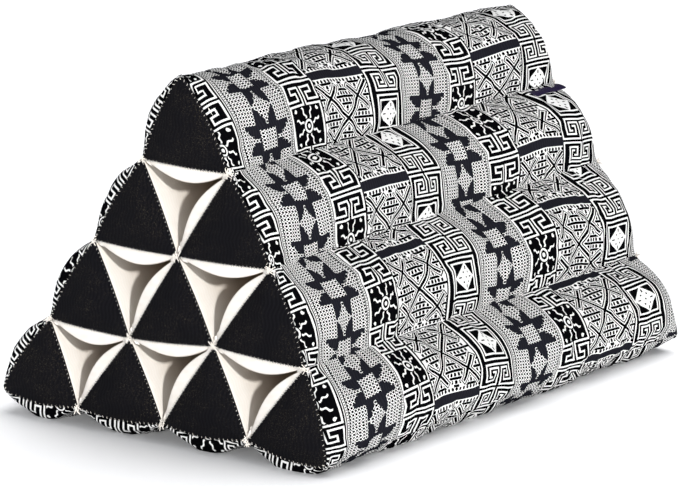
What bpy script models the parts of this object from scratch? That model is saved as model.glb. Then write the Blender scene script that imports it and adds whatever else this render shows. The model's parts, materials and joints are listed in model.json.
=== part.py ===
"""Triangle floor cushion: ten filled cotton rolls, sewn together in rows of one to four.

X runs along the rolls, Y across the ends and Z up. The origin lies on the floor under the
middle. The near end is at -X. Rows are numbered from the top, and places in a row from -Y.
"""

import math
from collections import namedtuple

import bmesh
import bpy
from mathutils import Vector

COLLECTION_NAME = "thai_triangle_cushion"

# Driving sizes, in metres
ROWS = 4
LENGTH = 0.503           # of the rolls, at LEAN_HEIGHT
PITCH = 0.0825           # between corner lines, across an end
ROW_HEIGHT = 0.069
BASE_HEIGHT = 0.0145     # of the lowest corner lines, which the base swells below
END_LEAN = 0.097         # how far an end leans in, for each metre of height
LEAN_HEIGHT = 0.15
CLOTH = 0.0013           # thickness of the cover and of the end panels
GAP = 0.0003             # between pieces that touch
MILLIMETRE = 0.001

# How far a wall swells past the straight line between its corners, at an end and half way.
# A higher shoulder makes it leave the end seam more steeply.
Swell = namedtuple("Swell", "end middle shoulder")
OUTER_SWELL = Swell(0.0040, 0.0195, 4.0)
INNER_SWELL = Swell(0.0010, 0.0130, 12.0)
FULL_POWER = 8.0         # a higher power keeps the rolls full closer to their ends
LUMP = 0.06              # how uneven the filling is, as a share of the swell
LUMP_WAVES = 1.7         # lumps along a roll
LUMP_TURN = (0.37, 0.61)  # turns of a lump's phase for each row and each place

# How much of a corner of the whole triangle is rounded off, at an end and half way
CORNER_SOFTNESS = Swell(0.25, 0.75, 4.0)

# Facets
SHARP_DEGREES = 50       # edges turned further than this are shaded sharp
WALL_STEPS = 6           # across each wall of a roll
STATION_STEPS = 12       # along a roll
END_STATION = 0.006      # share of a roll where its walls have left their end seams
CAP_SHARES = (0.55, 0.12)  # sizes of the rings inside an end's outline
CAP_CROWN = 0.006        # how far the middle of an end stands out

# Purple ribbon, folded and caught in the seam under the top roll at the far end
LABEL_LENGTH = 0.048
LABEL_OVERHANG = 0.002   # past the end of the seam
LABEL_CLOTH = 0.0015
LABEL_CLEARANCE = 0.0014  # of its middle from the bottom of the seam
LABEL_STEPS = 6
LABEL_START_DEGREES = 150  # from the bottom of the seam to its middle
RibbonRun = namedtuple("RibbonRun", "length degrees")
LABEL_RUNS = (           # from the seam outwards, each with its angle above +Y
    RibbonRun(0.0030, 178),
    RibbonRun(0.0035, 190),
    RibbonRun(0.0035, 199),
)

# How far the hand-sewn corner lines stray from an even lattice, in millimetres
Stray = namedtuple("Stray", "row place near_y near_z far_y far_z")
STRAYS = (
    Stray(0, 0, 12.0, 4.5, 0.0, -3.0),
    Stray(1, 0, -0.3, 0.9, 0.0, 1.0),
    Stray(1, 1, 0.6, 1.2, 1.0, -0.5),
    Stray(2, 0, -4.9, 1.3, -1.5, 5.0),
    Stray(2, 1, 1.0, -1.8, -1.5, 1.0),
    Stray(2, 2, -0.2, -0.6, 2.0, 1.5),
    Stray(3, 0, -3.0, -1.3, 2.0, -4.5),
    Stray(3, 1, 1.1, 1.8, -2.0, -1.0),
    Stray(3, 2, -0.5, -4.5, 1.5, 2.0),
    Stray(3, 3, -3.9, -1.0, 1.0, -1.5),
    Stray(4, 0, 10.0, -7.0, 0.0, -2.0),
    Stray(4, 1, 3.5, 2.0, -1.0, 0.5),
    Stray(4, 2, 2.4, 1.4, 1.0, 1.0),
    Stray(4, 3, 3.1, 0.6, 0.0, 1.5),
    Stray(4, 4, -3.0, 3.0, -2.0, 1.0),
)

Finish = namedtuple("Finish", "color roughness")
CREAM_COTTON = Finish((0.84, 0.79, 0.69), 0.90)
BLACK_COTTON = Finish((0.012, 0.012, 0.015), 0.88)
PATTERNED_WEAVE = Finish((0.34, 0.34, 0.35), 0.80)
PURPLE_RIBBON = Finish((0.045, 0.022, 0.13), 0.55)


def between(swell, s):
    """The value at s of something that has one value at the ends and one half way."""
    fullness = (1.0 - abs(2.0 * s - 1.0) ** FULL_POWER) ** (1.0 / swell.shoulder)
    return swell.end + (swell.middle - swell.end) * fullness


def corner_point(row, place, s):
    """Y and Z of a corner line, at s from 0 at the near end to 1 at the far end."""
    stray = next(item for item in STRAYS if (item.row, item.place) == (row, place))
    even = Vector(((place - row / 2) * PITCH, BASE_HEIGHT + (ROWS - row) * ROW_HEIGHT))
    near = Vector((stray.near_y, stray.near_z)) * MILLIMETRE
    far = Vector((stray.far_y, stray.far_z)) * MILLIMETRE
    return even + near.lerp(far, s)


def outer_corners():
    """The corner lines round the outside: up the -Y slope, down the +Y slope, along the base."""
    front = [(row, 0) for row in range(ROWS, 0, -1)]
    back = [(row, row) for row in range(ROWS)]
    base = [(ROWS, place) for place in range(ROWS, 0, -1)]
    return front + back + base


def roll_corners(row, place):
    """The three corner lines of a roll, in the same turning sense as the outside."""
    return [(row + 1, place), (row, place), (row + 1, place + 1)]


def is_outer_wall(start, end):
    """Whether the wall between two corner lines is on the outside."""
    ring = outer_corners()
    return (start, end) in zip(ring, ring[1:] + ring[:1])


def is_outermost(corner):
    """Whether a corner line is one of the three corners of the whole triangle."""
    return corner in ((0, 0), (ROWS, 0), (ROWS, ROWS))


def wall_points(start, end, s):
    """Points across a swelled wall, from its first corner to just before its last."""
    first = corner_point(*start, s)
    span = corner_point(*end, s) - first
    outward = Vector((-span.y, span.x)).normalized()
    swell = between(OUTER_SWELL if is_outer_wall(start, end) else INNER_SWELL, s)
    turn = LUMP_WAVES * s + LUMP_TURN[0] * start[0] + LUMP_TURN[1] * end[1]
    swell *= 1.0 + LUMP * math.sin(2 * math.pi * turn)
    points = []
    for step in range(WALL_STEPS):
        share = step / WALL_STEPS
        points.append(first + span * share + outward * swell * math.sin(math.pi * share))
    return points


def section(corners, s):
    """Closed outline through the given corner lines, with its outermost corners rounded."""
    outline = []
    for start, end in zip(corners, corners[1:] + corners[:1]):
        outline += wall_points(start, end, s)
    for number, corner in enumerate(corners):
        if is_outermost(corner):
            index = number * WALL_STEPS
            chord_middle = (outline[index - 1] + outline[index + 1]) / 2
            outline[index] = outline[index].lerp(chord_middle, between(CORNER_SOFTNESS, s))
    return outline


def left_of(edge):
    """Unit normal on the outer side of an outline's edge."""
    return Vector((-edge.y, edge.x)).normalized()


def offset(outline, distance):
    """The outline moved outwards by a distance, with its corners mitred."""
    moved = []
    for index, point in enumerate(outline):
        before = left_of(point - outline[index - 1])
        after = left_of(outline[(index + 1) % len(outline)] - point)
        moved.append(point + (before + after) * distance / (1.0 + before.dot(after)))
    return moved


def ring_at(outline, s, floor_level, stand_out=0.0):
    """Points in space for an outline at s, kept above the floor and moved along X."""
    ring = []
    for flat in outline:
        z = max(flat.y, floor_level)
        half_length = LENGTH / 2 - END_LEAN * (z - LEAN_HEIGHT)
        ring.append(Vector(((2 * s - 1) * half_length + stand_out, flat.x, z)))
    return ring


def stations():
    """Places along a roll, close together near its ends."""
    inner = [(1 - math.cos(math.pi * i / STATION_STEPS)) / 2 for i in range(1, STATION_STEPS)]
    return [0.0, END_STATION] + inner + [1.0 - END_STATION, 1.0]


def roll_outline(row, place, s):
    """A roll's own outline at s, half a gap inside the shared walls."""
    return offset(section(roll_corners(row, place), s), -GAP / 2)


def cap_rings(row, place, end, lift):
    """Rings over a roll's crowned end, from its outline inwards, lifted off it by lift."""
    outline = roll_outline(row, place, end)
    centre = sum(outline, Vector((0.0, 0.0))) / len(outline)
    outward = 2 * end - 1
    rings = []
    for share in (1.0,) + CAP_SHARES:
        shrunk = [centre.lerp(point, share) for point in outline]
        stand_out = outward * (lift + CAP_CROWN * (1 - share ** 2))
        rings.append(ring_at(shrunk, end, CLOTH + GAP, stand_out))
    return rings


def loft(name, rings, finish, collection, closed=False):
    """A skin through the rings, closed by flat ends or back onto its first ring.

    Each cell is split from its corner at -X, so cloths that lie on each other fold alike.
    """
    mesh = bmesh.new()
    loops = [[mesh.verts.new(point) for point in ring] for ring in rings]
    neighbours = list(zip(loops, loops[1:]))
    if closed:
        neighbours.append((loops[-1], loops[0]))
    else:
        mesh.faces.new(loops[0])
        mesh.faces.new(loops[-1])
    for pair in neighbours:
        near, far = sorted(pair, key=lambda loop: loop[0].co.x)
        for index in range(len(near)):
            after = (index + 1) % len(near)
            mesh.faces.new((near[index], near[after], far[after]))
            mesh.faces.new((near[index], far[after], far[index]))
    bmesh.ops.recalc_face_normals(mesh, faces=mesh.faces)
    return add_object(name, mesh, finish, collection)


def add_object(name, mesh, finish, collection):
    """An object of the given mesh and finish, shaded smooth."""
    data = bpy.data.meshes.new(name)
    mesh.to_mesh(data)
    mesh.free()
    data.materials.append(material(name, finish))
    data.shade_smooth()
    data.set_sharp_from_angle(angle=math.radians(SHARP_DEGREES))
    item = bpy.data.objects.new(name, data)
    collection.objects.link(item)
    return item


def material(name, finish):
    """A Principled material of one colour."""
    made = bpy.data.materials.new(name)
    made.use_nodes = True
    shader = made.node_tree.nodes["Principled BSDF"]
    shader.inputs["Base Color"].default_value = (*finish.color, 1.0)
    shader.inputs["Roughness"].default_value = finish.roughness
    shader.inputs["Metallic"].default_value = 0.0
    return made


def add_roll(row, place, collection):
    """A filled cotton roll: its crowned near end, its walls and its crowned far end."""
    near_cap = cap_rings(row, place, 0, 0.0)
    far_cap = cap_rings(row, place, 1, 0.0)
    walls = [
        ring_at(roll_outline(row, place, s), s, CLOTH + GAP) for s in stations()[1:-1]
    ]
    rings = near_cap[::-1] + walls + far_cap
    return loft(f"roll_{row + 1}_{place + 1}", rings, CREAM_COTTON, collection)


def add_end_panel(row, place, end, collection):
    """The black panel that closes a roll's end, as thick as its cloth."""
    inside = cap_rings(row, place, end, GAP)
    outside = cap_rings(row, place, end, GAP + CLOTH)
    side = "far" if end else "near"
    name = f"end_panel_{side}_{row + 1}_{place + 1}"
    return loft(name, inside[::-1] + outside, BLACK_COTTON, collection)


def add_cover(collection):
    """The patterned cloth that wraps all rolls round both slopes and the base."""
    outside = []
    inside = []
    for s in stations():
        outline = section(outer_corners(), s)
        outside.append(ring_at(offset(outline, GAP / 2 + CLOTH), s, 0.0))
        inside.append(ring_at(offset(outline, GAP / 2), s, CLOTH))
    rings = outside + inside[::-1]
    return loft("patterned_cover", rings, PATTERNED_WEAVE, collection, closed=True)


def add_label(collection):
    """The folded ribbon, curling up out of the seam below the top roll."""
    seam_index = outer_corners().index((1, 0)) * WALL_STEPS
    end_seam = ring_at(offset(section(outer_corners(), 1.0), CLOTH), 1.0, 0.0)[seam_index]
    inner_s = 1.0 - (LABEL_LENGTH - LABEL_OVERHANG) / LENGTH
    inner_seam = ring_at(offset(section(outer_corners(), inner_s), CLOTH), inner_s, 0.0)[seam_index]
    along = (end_seam - inner_seam).normalized()
    start = RibbonRun(LABEL_CLEARANCE, LABEL_START_DEGREES)
    mesh = bmesh.new()
    rows = []
    for step in range(LABEL_STEPS + 1):
        point = inner_seam + along * LABEL_LENGTH * step / LABEL_STEPS
        row = []
        for run in (start,) + LABEL_RUNS:
            angle = math.radians(run.degrees)
            point = point + Vector((0.0, math.cos(angle), math.sin(angle))) * run.length
            row.append(mesh.verts.new(point))
        rows.append(row)
    for row, after in zip(rows, rows[1:]):
        for index in range(len(row) - 1):
            mesh.faces.new((row[index], after[index], after[index + 1], row[index + 1]))
    label = add_object("label_ribbon", mesh, PURPLE_RIBBON, collection)
    thicken = label.modifiers.new("Thickness", "SOLIDIFY")
    thicken.thickness = LABEL_CLOTH
    thicken.offset = 0.0
    thicken.use_even_offset = True
    return label


def main():
    """Clear the scene and build the cushion."""
    for item in list(bpy.data.objects):
        bpy.data.objects.remove(item, do_unlink=True)
    collection = bpy.data.collections.new(COLLECTION_NAME)
    bpy.context.scene.collection.children.link(collection)
    for row in range(ROWS):
        for place in range(row + 1):
            add_roll(row, place, collection)
            for end in (0, 1):
                add_end_panel(row, place, end, collection)
    add_cover(collection)
    add_label(collection)


main()
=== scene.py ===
"""Triangle floor cushion: cloth, seams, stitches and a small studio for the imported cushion.

X runs along the rolls, Y across the ends and Z up. The near end is at -X. Rows are numbered
from the top, and places in a row from -Y.
"""

import json
import math
from collections import namedtuple

import bpy
import numpy as np
from bpy.props import (
    FloatProperty,
    FloatVectorProperty,
    IntProperty,
    PointerProperty,
)
from bpy.types import Operator, Panel, PropertyGroup
from mathutils import Matrix, Vector

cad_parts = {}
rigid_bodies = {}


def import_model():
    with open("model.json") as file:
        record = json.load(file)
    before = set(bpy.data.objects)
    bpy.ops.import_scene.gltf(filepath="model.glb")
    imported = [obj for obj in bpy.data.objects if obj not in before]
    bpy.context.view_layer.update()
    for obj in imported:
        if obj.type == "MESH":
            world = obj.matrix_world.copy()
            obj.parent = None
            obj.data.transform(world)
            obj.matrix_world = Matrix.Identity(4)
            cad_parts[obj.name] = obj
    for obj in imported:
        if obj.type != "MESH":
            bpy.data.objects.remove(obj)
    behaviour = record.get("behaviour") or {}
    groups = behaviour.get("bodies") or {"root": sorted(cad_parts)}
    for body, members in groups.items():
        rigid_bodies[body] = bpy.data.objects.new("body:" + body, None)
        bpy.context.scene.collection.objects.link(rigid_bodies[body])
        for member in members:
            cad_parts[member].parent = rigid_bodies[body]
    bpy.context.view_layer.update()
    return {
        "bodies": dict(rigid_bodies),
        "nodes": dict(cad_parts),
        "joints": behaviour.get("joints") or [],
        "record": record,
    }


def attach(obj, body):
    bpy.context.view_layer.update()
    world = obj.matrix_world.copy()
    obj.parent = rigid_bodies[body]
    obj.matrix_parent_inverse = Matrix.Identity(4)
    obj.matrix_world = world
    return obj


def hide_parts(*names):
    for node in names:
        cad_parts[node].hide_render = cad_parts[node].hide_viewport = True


bl_info = {
    "name": "Triangle floor cushion",
    "version": (1, 0, 0),
    "blender": (4, 5, 0),
    "location": "3D View > Sidebar > Cushion",
    "description": "Cloth, seams and stitches of a triangle cushion of ten rolls",
    "category": "Object",
}

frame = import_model()

BODY = "root"
SIDES = ("near", "far")
MILLIMETRE = 0.001

# The cushion's lattice of corner lines, in metres, as in the part's source
ROWS = 4
LENGTH = 0.503
PITCH = 0.0825
ROW_HEIGHT = 0.069
BASE_HEIGHT = 0.0145
END_LEAN = 0.097
LEAN_HEIGHT = 0.15
CLOTH = 0.0013
GAP = 0.0003
Swell = namedtuple("Swell", "end middle shoulder")
OUTER_SWELL = Swell(0.0040, 0.0195, 4.0)
INNER_SWELL = Swell(0.0010, 0.0130, 12.0)
FULL_POWER = 8.0
MOUTH_SWELL = 0.0030     # how much fuller the cloth of an inner wall is near its ends
MOUTH_REACH = 0.030
FLAT_SWELL = Swell(0.0012, 0.0030, 4.0)     # of the inner walls that face -Y
LUMP = 0.06
LUMP_WAVES = 1.7
LUMP_TURN = (0.37, 0.61)
CORNER_SOFTNESS = Swell(0.25, 0.75, 4.0)
CORNER_REACH = 1 / 6     # share of a wall over which an outermost corner is rounded
CAP_CROWN = 0.006

# How far each corner line strays, in millimetres: its Y and Z at the near and the far end
STRAYS = {
    (0, 0): ((12.0, 4.5), (0.0, -3.0)),
    (1, 0): ((-0.3, 0.9), (0.0, 1.0)),
    (1, 1): ((0.6, 1.2), (1.0, -0.5)),
    (2, 0): ((-4.9, 1.3), (-1.5, 5.0)),
    (2, 1): ((1.0, -1.8), (-1.5, 1.0)),
    (2, 2): ((-0.2, -0.6), (2.0, 1.5)),
    (3, 0): ((-3.0, -1.3), (2.0, -4.5)),
    (3, 1): ((1.1, 1.8), (-2.0, -1.0)),
    (3, 2): ((-0.5, -4.5), (1.5, 2.0)),
    (3, 3): ((-3.9, -1.0), (1.0, -1.5)),
    (4, 0): ((10.0, -7.0), (0.0, -2.0)),
    (4, 1): ((3.5, 2.0), (-1.0, 0.5)),
    (4, 2): ((2.4, 1.4), (1.0, 1.0)),
    (4, 3): ((3.1, 0.6), (0.0, 1.5)),
    (4, 4): ((-3.0, 3.0), (-2.0, 1.0)),
}


# Shape of the cushion


def between(swell, s):
    """The value at s of something that has one value at the ends and one half way."""
    fullness = (1.0 - abs(2.0 * s - 1.0) ** FULL_POWER) ** (1.0 / swell.shoulder)
    return swell.end + (swell.middle - swell.end) * fullness


def corner_point(corner, s):
    """Y and Z of a corner line, at s from 0 at the near end to 1 at the far end."""
    row, place = corner
    near, far = (np.array(stray) * MILLIMETRE for stray in STRAYS[corner])
    even = np.array([(place - row / 2) * PITCH, BASE_HEIGHT + (ROWS - row) * ROW_HEIGHT])
    return even + near + (far - near) * s


def outer_corners():
    """The corner lines round the outside: up the -Y slope, down the +Y slope, along the base."""
    front = [(row, 0) for row in range(ROWS, 0, -1)]
    back = [(row, row) for row in range(ROWS)]
    base = [(ROWS, place) for place in range(ROWS, 0, -1)]
    return front + back + base


def roll_corners(row, place):
    """The three corner lines of a roll, in the same turning sense as the outside."""
    return [(row + 1, place), (row, place), (row + 1, place + 1)]


def every_roll():
    """Row and place of every roll, from the top down."""
    return [(row, place) for row in range(ROWS) for place in range(row + 1)]


def is_outer_wall(start, end):
    """Whether the wall between two corner lines is on the outside."""
    ring = outer_corners()
    return (start, end) in zip(ring, ring[1:] + ring[:1])


def wall_points(start, end, s, steps):
    """Points across a swelled wall, from its first corner to just before its last."""
    first = corner_point(start, s)
    span = corner_point(end, s) - first
    outward = np.array([-span[1], span[0]]) / np.hypot(*span)
    if is_outer_wall(start, end):
        swell = between(OUTER_SWELL, s)
    else:
        from_end = LENGTH * min(s, 1.0 - s)
        mouth = MOUTH_SWELL * math.exp(-from_end / MOUTH_REACH)
        swell = between(INNER_SWELL._replace(middle=INNER_SWELL.middle + mouth), s)
        faces_front = start[1] == end[1]
        if faces_front:
            swell = between(FLAT_SWELL, s)
    turn = LUMP_WAVES * s + LUMP_TURN[0] * start[0] + LUMP_TURN[1] * end[1]
    swell *= 1.0 + LUMP * math.sin(2 * math.pi * turn)
    share = np.arange(steps)[:, None] / steps
    return first + span * share + outward * swell * np.sin(math.pi * share)


def soften_corner(outline, index, steps, softness):
    """Rounds the outline's corner at an index, over CORNER_REACH of the walls beside it."""
    reach = round(steps * CORNER_REACH)
    before = outline[index - reach]
    after = outline[(index + reach) % len(outline)]
    chord_middle = (before + after) / 2
    tip = outline[index] + (chord_middle - outline[index]) * softness
    control = 2 * tip - chord_middle
    for step in range(-reach + 1, reach):
        t = (step + reach) / (2 * reach)
        curve = before * (1 - t) ** 2 + control * 2 * t * (1 - t) + after * t ** 2
        outline[(index + step) % len(outline)] = curve


def section(corners, s, steps):
    """Closed outline through the given corner lines, with its outermost corners rounded."""
    walls = [wall_points(a, b, s, steps) for a, b in zip(corners, corners[1:] + corners[:1])]
    outline = np.concatenate(walls)
    for number, corner in enumerate(corners):
        if corner in ((0, 0), (ROWS, 0), (ROWS, ROWS)):
            soften_corner(outline, number * steps, steps, between(CORNER_SOFTNESS, s))
    return outline


def offset(outline, distance):
    """The outline moved outwards by a distance, with its corners mitred."""
    edges = np.roll(outline, -1, axis=0) - outline
    normals = np.stack([-edges[:, 1], edges[:, 0]], axis=1)
    normals /= np.linalg.norm(normals, axis=1)[:, None]
    before = np.roll(normals, 1, axis=0)
    spread = 1.0 + np.sum(before * normals, axis=1)
    return outline + (before + normals) * (distance / spread)[:, None]


def ring_at(outline, s, floor_level, stand_out=0.0):
    """Points in space for an outline at s, kept above the floor and moved along X."""
    z = np.maximum(outline[:, 1], floor_level)
    half_length = LENGTH / 2 - END_LEAN * (z - LEAN_HEIGHT)
    return np.stack([(2 * s - 1) * half_length + stand_out, outline[:, 0], z], axis=1)


def stations(count):
    """Places along a roll, close together near its ends."""
    even = np.linspace(0.0, 1.0, count + 1)
    eased = 0.35 * even + 0.65 * (1 - np.cos(np.pi * even)) / 2
    extra = np.array([0.0005, 0.0015, 0.003])
    return np.unique(np.concatenate([eased, extra, 1.0 - extra]))


def roll_outline(row, place, s, steps):
    """A roll's own outline at s, half a gap inside the shared walls."""
    return offset(section(roll_corners(row, place), s, steps), -GAP / 2)


def cap_rings(row, place, end, lift, shares, steps):
    """Rings over a roll's crowned end, from its outline inwards, lifted off it by lift."""
    outline = roll_outline(row, place, end, steps)
    centre = outline.mean(axis=0)
    outward = 2 * end - 1
    rings = []
    for share in shares:
        shrunk = centre + (outline - centre) * share
        stand_out = outward * (lift + CAP_CROWN * (1 - share ** 2))
        rings.append(ring_at(shrunk, end, CLOTH + GAP, stand_out))
    return rings


def ripple(x, seed, waves):
    """A smooth random wave over x, between about -1 and 1, with so many waves a metre."""
    random = np.random.default_rng(seed)
    total = np.zeros_like(x)
    for stretch in (0.61, 0.83, 1.0, 1.27, 1.73):
        total += np.sin(2 * np.pi * (waves * stretch * x + random.random()))
    return total / 3.2


# Meshes


def grid_faces(rows, columns, wrap, flip=False, start=0):
    """Quads of a grid of points, stored row by row. With wrap, its columns close in a ring."""
    faces = []
    for row in range(rows - 1):
        for column in range(columns if wrap else columns - 1):
            after = (column + 1) % columns
            a = start + row * columns + column
            b = start + row * columns + after
            quad = (a, b, b + columns, a + columns)
            faces.append(quad[::-1] if flip else quad)
    return faces


def add_piece(name, points, faces, material, smooth=True):
    """An object at the origin, of the given points and faces."""
    mesh = bpy.data.meshes.new(name)
    mesh.from_pydata([tuple(p) for p in points], [], faces)
    mesh.validate()
    mesh.materials.append(material)
    if smooth:
        mesh.shade_smooth()
    piece = bpy.data.objects.new(name, mesh)
    bpy.context.scene.collection.objects.link(piece)
    return piece


def pole_fans(columns, last, count):
    """Triangles that close both ends of a tube of rings, round its last two points."""
    faces = []
    for column in range(columns):
        after = (column + 1) % columns
        faces.append((after, column, count - 2))
        faces.append((last + column, last + after, count - 1))
    return faces


def corner_vertices(mesh):
    """The vertex at each face corner."""
    corners = np.empty(len(mesh.loops), dtype=np.int64)
    mesh.loops.foreach_get("vertex_index", corners)
    return corners


def set_uv(piece, name, corners):
    """A UV map from one coordinate for each face corner."""
    layer = piece.data.uv_layers.new(name=name)
    layer.data.foreach_set("uv", np.asarray(corners, dtype=np.float32).ravel())


def surface_normals(grid, wrap):
    """Unit normals of a grid of points, on the side that its ring turns outwards."""
    along = np.gradient(grid, axis=0)
    if wrap:
        across = np.roll(grid, -1, axis=1) - np.roll(grid, 1, axis=1)
    else:
        across = np.gradient(grid, axis=1)
    normals = np.cross(along, across)
    return normals / np.maximum(np.linalg.norm(normals, axis=2), 1e-9)[:, :, None]


# Shader arithmetic


def math_node(tree, operation, *values):
    """A Math node's result as a Signal."""
    node = tree.nodes.new("ShaderNodeMath")
    node.operation = operation
    for socket, value in zip(node.inputs, values):
        if isinstance(value, Signal):
            tree.links.new(value.socket, socket)
        else:
            socket.default_value = value
    return Signal(node.outputs[0])


class Signal:
    """A number in a shader tree, with ordinary arithmetic."""

    def __init__(self, socket):
        self.socket = socket
        self.tree = socket.id_data

    def made(self, operation, *values):
        return math_node(self.tree, operation, *values)

    def __add__(self, other):
        return self.made("ADD", self, other)

    def __sub__(self, other):
        return self.made("SUBTRACT", self, other)

    def __rsub__(self, other):
        return self.made("SUBTRACT", other, self)

    def __mul__(self, other):
        return self.made("MULTIPLY", self, other)

    def __truediv__(self, other):
        return self.made("DIVIDE", self, other)

    def __lt__(self, other):
        return self.made("LESS_THAN", self, other)

    def __gt__(self, other):
        return self.made("GREATER_THAN", self, other)

    def __abs__(self):
        return self.made("ABSOLUTE", self)

    def least(self, other):
        return self.made("MINIMUM", self, other)

    def most(self, other):
        return self.made("MAXIMUM", self, other)

    def floor(self):
        return self.made("FLOOR", self)

    def modulo(self, other):
        return self.made("FLOORED_MODULO", self, other)

    def sine(self):
        return self.made("SINE", self)

    def folded(self, period):
        """How far from the nearest whole multiple of the period."""
        return abs(self - (self / period + 0.5).floor() * period)

    def within(self, low, high):
        """1 between low and high, otherwise 0."""
        return (self > low) * (self < high)


def new_group(name, inputs, outputs):
    """An empty shader group, its input Signals and its output node's sockets."""
    tree = bpy.data.node_groups.new(name, "ShaderNodeTree")
    for label, default in inputs.items():
        socket = tree.interface.new_socket(label, in_out="INPUT", socket_type="NodeSocketFloat")
        socket.default_value = default
    for label in outputs:
        tree.interface.new_socket(label, in_out="OUTPUT", socket_type="NodeSocketFloat")
    entry = tree.nodes.new("NodeGroupInput")
    leave = tree.nodes.new("NodeGroupOutput")
    signals = [Signal(entry.outputs[label]) for label in inputs]
    return tree, signals, leave


def finish_group(tree, leave, **results):
    """Links each named result to the group's output."""
    for label, signal in results.items():
        tree.links.new(signal.socket, leave.inputs[label.replace("_", " ").capitalize()])
    return tree


def use_group(tree, group, **values):
    """A node of the group in a tree, with Signals or numbers on its inputs."""
    node = tree.nodes.new("ShaderNodeGroup")
    node.node_tree = group
    for label, value in values.items():
        socket = node.inputs[label.replace("_", " ").capitalize()]
        if isinstance(value, Signal):
            tree.links.new(value.socket, socket)
        else:
            socket.default_value = value
    return node


def step_table(signal, stops, span):
    """A ramp of constant steps over 0 to span: each stop gives its start and its red, green."""
    ramp = signal.tree.nodes.new("ShaderNodeValToRGB")
    ramp.color_ramp.interpolation = "CONSTANT"
    elements = ramp.color_ramp.elements
    elements.remove(elements[1])
    for number, (start, red, green) in enumerate(stops):
        element = elements[0] if number == 0 else elements.new(start / span)
        element.position = start / span
        element.color = (red, green, 0.0, 1.0)
    signal.tree.links.new((signal / span).socket, ramp.inputs["Fac"])
    split = signal.tree.nodes.new("ShaderNodeSeparateColor")
    signal.tree.links.new(ramp.outputs["Color"], split.inputs["Color"])
    return Signal(split.outputs["Red"]), Signal(split.outputs["Green"])


def read_thinned(chart, column, row, thinner):
    """A chart's marks, with their lines made thinner by a share of a cell."""
    mark = read_chart(chart, column, row)
    beside = read_chart(chart, column + thinner, row)
    below = read_chart(chart, column, row + thinner)
    return mark * beside * below


def read_chart(chart, column, row):
    """The mark of a weaving chart at a column and row: 1 on #, 0 on a dot.

    Each row of the chart is one binary fraction, held in a step of a ramp.
    """
    stops = []
    for number, marks in enumerate(chart):
        bits = sum(2.0 ** -(place + 1) for place, mark in enumerate(marks) if mark == "#")
        stops.append((number, bits, 0.0))
    powers = [(place, 2.0 ** -(place + 1), 0.0) for place in range(len(chart[0]))]
    row_middle = row.floor().least(len(chart) - 1.0).most(0.0) + 0.5
    column_middle = column.floor().least(len(chart[0]) - 1.0).most(0.0) + 0.5
    fraction, _ = step_table(row_middle, stops, len(chart))
    power, _ = step_table(column_middle, powers, len(chart[0]))
    return (fraction / power).floor().modulo(2.0)


# The woven pattern, in millimetres of cloth

REPEAT_ALONG = 240.0     # from one star band to the next
REPEAT_ACROSS = 75.7     # of suns, lattices and spirals
STAR_REPEAT = REPEAT_ACROSS * 2 / 3
STAR_SHIFT = 24.3        # from a sun's middle to a star's
FIRST_BAND = 15.0        # where the first whole repeat starts

# Where each band starts and ends in the repeat
Band = namedtuple("Band", "start end")
EDGE_STRIPES = Band(0.0, 6.9)
STAR_BAND = Band(6.9, 72.0)
THIN_STRIPES = Band(72.0, 77.0)
STRIPES_START = 2.6      # the edge stripes' pair of lines, after one broad line
SUN_BAND = Band(77.0, 119.0)
LATTICE_BAND = Band(119.0, 190.0)
SPIRAL_BAND = Band(190.0, 240.0)

# Key rows beside a sun: half the band from its edge to its middle, half a repeat downwards
KEY_CHART = (
    "......................",
    "######################",
    "######################",
    "##....................",
    "##....................",
    "##....................",
    "##.....##############.",
    "##.....##############.",
    "##.....##..........##.",
    "##.....##..........##.",
    "##.....##..........##.",
    "##.....#########...##.",
    "##.....#########...##.",
    "##............##...##.",
    "##............##...##.",
    "##............##...##.",
    "##............##...##.",
    "################...##.",
    "################...##.",
    "...................##.",
    "...................##.",
    "#####################.",
    "#####################.",
    "##....................",
)
KEY_COLUMN = 21.0 / 22
KEY_ROW = 0.94

# Spirals beside a diamond, charted the same way
SPIRAL_CHART = (
    "........................",
    "#######################.",
    "#######################.",
    "##...................##.",
    "##...................##.",
    "##....#############..##.",
    "##....#############..##.",
    "##....##.........##..##.",
    "##....##..#####..##..##.",
    "##....##..#####..##..##.",
    "##....##..##.....##..##.",
    "##....##..##.....##..##.",
    "##....##..##..#####..##.",
    "##....##..##..#####..##.",
    "##....##..##.........##.",
    "##....##..#############.",
    "##....##..#############.",
    "##....##................",
    "##....##################",
    "##....##################",
    "##......................",
    "##......................",
    "##....##################",
    "##....##################",
    "##....##................",
    "##....##................",
    "##....##.###############",
    "##....##.###############",
    "##....##.##.............",
)
SPIRAL_COLUMN = 25.0 / 24
SPIRAL_ROW = 0.98

# Dark part of a star, outwards from its middle row: start, inner edge and outer edge
STAR_STEPS = (
    (0.0, 9.4, 11.0),
    (1.4, 9.4, 17.6),
    (3.6, 9.4, 21.4),
    (5.8, 9.4, 24.2),
    (8.0, 0.0, 27.4),
    (11.8, 1.5, 12.8),
    (15.8, 3.2, 12.8),
    (18.2, 5.4, 12.8),
    (20.4, 7.6, 12.8),
    (22.6, 9.8, 12.8),
    (24.6, 30.0, 30.0),
)
STAR_REACH = 30.0
DOT_PITCH = (3.75, 2.67)     # of the dots in the ground round the stars


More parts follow.
